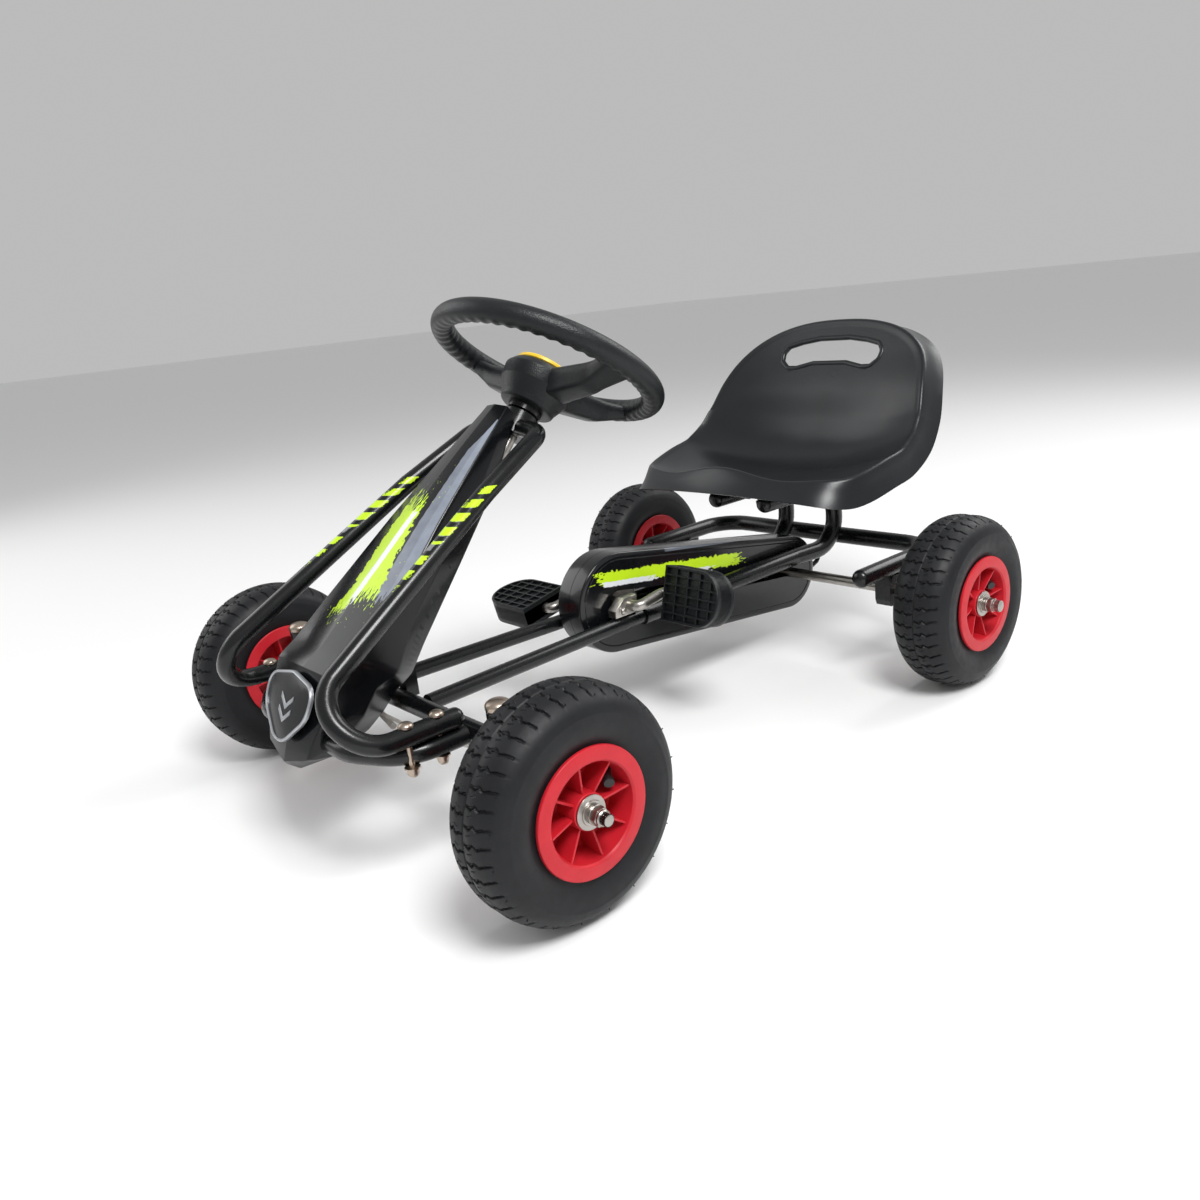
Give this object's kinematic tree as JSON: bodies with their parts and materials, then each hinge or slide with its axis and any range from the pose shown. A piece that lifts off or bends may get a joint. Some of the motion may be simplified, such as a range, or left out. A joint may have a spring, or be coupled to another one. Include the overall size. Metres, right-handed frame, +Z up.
{
  "type": "pedal go kart",
  "caption": "Child's pedal go kart: tube frame, bucket seat, tilted steering wheel behind a faceted nose cover, chain drive in a long case, air tyres on red wheels.",
  "frame": {"origin": "on the ground under the middle of the bounding box", "axes": "+Z up, the kart faces -Y, +X is the driver's left"},
  "size_m": [0.728, 1.0316, 0.5577],
  "materials": {
    "black_paint": "gloss",
    "zinc": "zinc plated",
    "black_plastic": "grained",
    "yellow": "satin",
    "black_cover": "gloss",
    "silver": "metallic",
    "seat_plastic": "satin",
    "rubber": "matte",
    "red_plastic": "satin"
  },
  "bodies": {
    "frame": {"front_beam": "black_paint", "bumper_tube": "black_paint", "kingpin_sleeve_left": "black_paint", "kingpin_sleeve_right": "black_paint", "kingpin_cap_left": "zinc", "kingpin_cap_right": "zinc", "guard_tube_left": "black_paint", "guard_tube_right": "black_paint", "front_tube_left": "black_paint", "front_tube_right": "black_paint", "seat_rail_left": "black_paint", "seat_rail_right": "black_paint", "axle_bearing_left": "black_paint", "axle_bearing_right": "black_paint", "chain_case_left": "black_cover", "chain_case_right": "black_cover", "crank_bracket_left": "zinc", "crank_bracket_right": "zinc", "guard_bolt_left_1": "zinc", "guard_bolt_left_2": "zinc", "guard_bolt_right_1": "zinc", "guard_bolt_right_2": "zinc", "rear_loop": "black_paint", "case_stay": "black_paint", "column_head": "black_paint", "column_foot": "black_paint", "nose_fairing": "black_cover", "fairing_back": "black_cover", "nose_badge": "silver", "chain": "zinc"},
    "steering": {"steering_wheel": "black_plastic", "wheel_pad": "yellow", "steering_shaft": "zinc", "pitman_arm": "zinc"},
    "knuckle_left": {"spindle_left": "black_paint", "axle_nut_front_left": "zinc"},
    "knuckle_right": {"spindle_right": "black_paint", "axle_nut_front_right": "zinc"},
    "tie_rod_left": {"tie_rod_left": "zinc"},
    "tie_rod_right": {"tie_rod_right": "zinc"},
    "wheel_front_left": {"tyre_front_left": "rubber", "rim_front_left": "red_plastic"},
    "wheel_front_right": {"tyre_front_right": "rubber", "rim_front_right": "red_plastic"},
    "rear_axle": {"rear_axle": "zinc", "rear_sprocket": "zinc", "tyre_rear_left": "rubber", "rim_rear_left": "red_plastic", "axle_nut_rear_left": "zinc", "axle_nut_rear_right": "zinc"},
    "wheel_rear_right": {"tyre_rear_right": "rubber", "rim_rear_right": "red_plastic"},
    "crank": {"crank": "zinc", "chainring": "zinc"},
    "pedal_left": {"pedal_left": "black_plastic"},
    "pedal_right": {"pedal_right": "black_plastic"},
    "seat": {"seat_shell": "seat_plastic", "seat_bracket": "black_paint", "seat_clamp_bolt": "zinc"}
  },
  "joints": [
    {"name": "steering_turn", "type": "hinge", "parent": "frame", "child": "steering", "pos_m": [0, -0.1012, 0.4723], "axis": [0, 0.6626, 0.749], "range_deg": [-35, 35]},
    {"name": "knuckle_left_turn", "type": "hinge", "parent": "frame", "child": "knuckle_left", "pos_m": [0.216, -0.3781, 0.15], "axis": [0, 0, 1], "range_deg": [-24, 24]},
    {"name": "tie_rod_left_turn", "type": "hinge", "parent": "knuckle_left", "child": "tie_rod_left", "pos_m": [0.212, -0.3331, 0.1075], "axis": [0, 0, 1], "range_deg": [-24, 24]},
    {"name": "wheel_front_left_spin", "type": "hinge", "parent": "knuckle_left", "child": "wheel_front_left", "pos_m": [0.306, -0.3781, 0.1125], "axis": [1, 0, 0], "continuous": true},
    {"name": "knuckle_right_turn", "type": "hinge", "parent": "frame", "child": "knuckle_right", "pos_m": [-0.216, -0.3781, 0.15], "axis": [0, 0, 1], "range_deg": [-24, 24]},
    {"name": "tie_rod_right_turn", "type": "hinge", "parent": "knuckle_right", "child": "tie_rod_right", "pos_m": [-0.212, -0.3331, 0.1075], "axis": [0, 0, 1], "range_deg": [-24, 24]},
    {"name": "wheel_front_right_spin", "type": "hinge", "parent": "knuckle_right", "child": "wheel_front_right", "pos_m": [-0.306, -0.3781, 0.1125], "axis": [1, 0, 0], "continuous": true},
    {"name": "rear_axle_spin", "type": "hinge", "parent": "frame", "child": "rear_axle", "pos_m": [0, 0.3019, 0.1125], "axis": [1, 0, 0], "continuous": true},
    {"name": "wheel_rear_right_spin", "type": "hinge", "parent": "frame", "child": "wheel_rear_right", "pos_m": [-0.3, 0.3019, 0.1125], "axis": [1, 0, 0], "continuous": true},
    {"name": "crank_spin", "type": "hinge", "parent": "frame", "child": "crank", "pos_m": [0, -0.0481, 0.162], "axis": [1, 0, 0], "continuous": true},
    {"name": "pedal_left_spin", "type": "hinge", "parent": "crank", "child": "pedal_left", "pos_m": [0.115, 0.00128, 0.16982], "axis": [1, 0, 0], "continuous": true},
    {"name": "pedal_right_spin", "type": "hinge", "parent": "crank", "child": "pedal_right", "pos_m": [-0.115, -0.09748, 0.15418], "axis": [1, 0, 0], "continuous": true},
    {"name": "seat_slide", "type": "slide", "parent": "frame", "child": "seat", "axis": [0, 1, 0], "range_m": [-0.03, 0.03]}
  ],
  "couplings": [
    {"joint": "knuckle_left_turn", "follows": "steering_turn", "ratio": 0.6667},
    {"joint": "tie_rod_left_turn", "follows": "steering_turn", "ratio": -0.6667},
    {"joint": "knuckle_right_turn", "follows": "steering_turn", "ratio": 0.6667},
    {"joint": "tie_rod_right_turn", "follows": "steering_turn", "ratio": -0.6667},
    {"joint": "crank_spin", "follows": "rear_axle_spin", "ratio": 0.6667}
  ]
}
